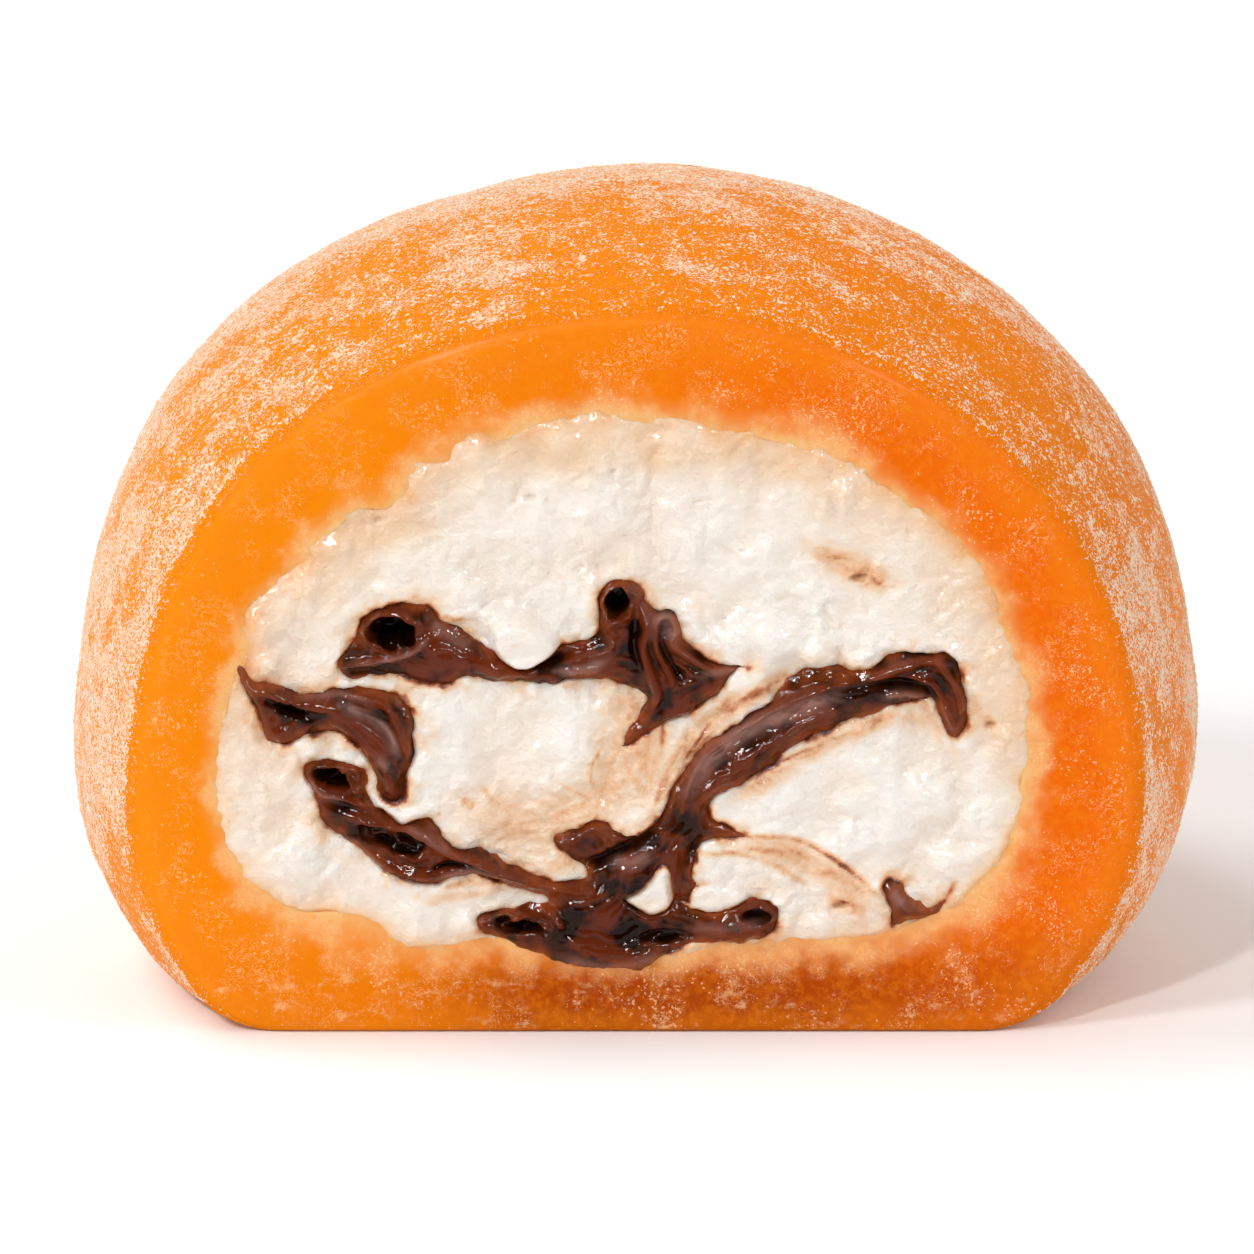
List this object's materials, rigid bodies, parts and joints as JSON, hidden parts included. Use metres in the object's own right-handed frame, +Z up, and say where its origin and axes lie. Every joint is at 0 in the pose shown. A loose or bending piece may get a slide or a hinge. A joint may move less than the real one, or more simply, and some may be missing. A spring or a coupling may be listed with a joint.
{
  "type": "marshmallow mochi",
  "caption": "Domed orange rice-dough sweet, cut open at the front, filled with white marshmallow cream and ribbons of dark chocolate.",
  "frame": {"origin": "on the flat base, under the middle of the round dome", "axes": "+Z up out of the base, -Y out of the cut face, X across it along the sweet's greatest width"},
  "size_m": [0.05, 0.0373, 0.035],
  "materials": {
    "orange_rice_dough": "soft, slightly translucent orange dough, dusted with starch outside and smooth and damp on the cut",
    "marshmallow_cream": "soft white whipped marshmallow, torn and a little moist",
    "dark_chocolate_sauce": "thick dark brown chocolate sauce with a wet gloss"
  },
  "bodies": {
    "root": {"mochi_skin": "orange_rice_dough", "marshmallow": "marshmallow_cream", "chocolate_upper": "dark_chocolate_sauce", "chocolate_left": "dark_chocolate_sauce", "chocolate_lower": "dark_chocolate_sauce", "chocolate_corner": "dark_chocolate_sauce"}
  },
  "joints": []
}
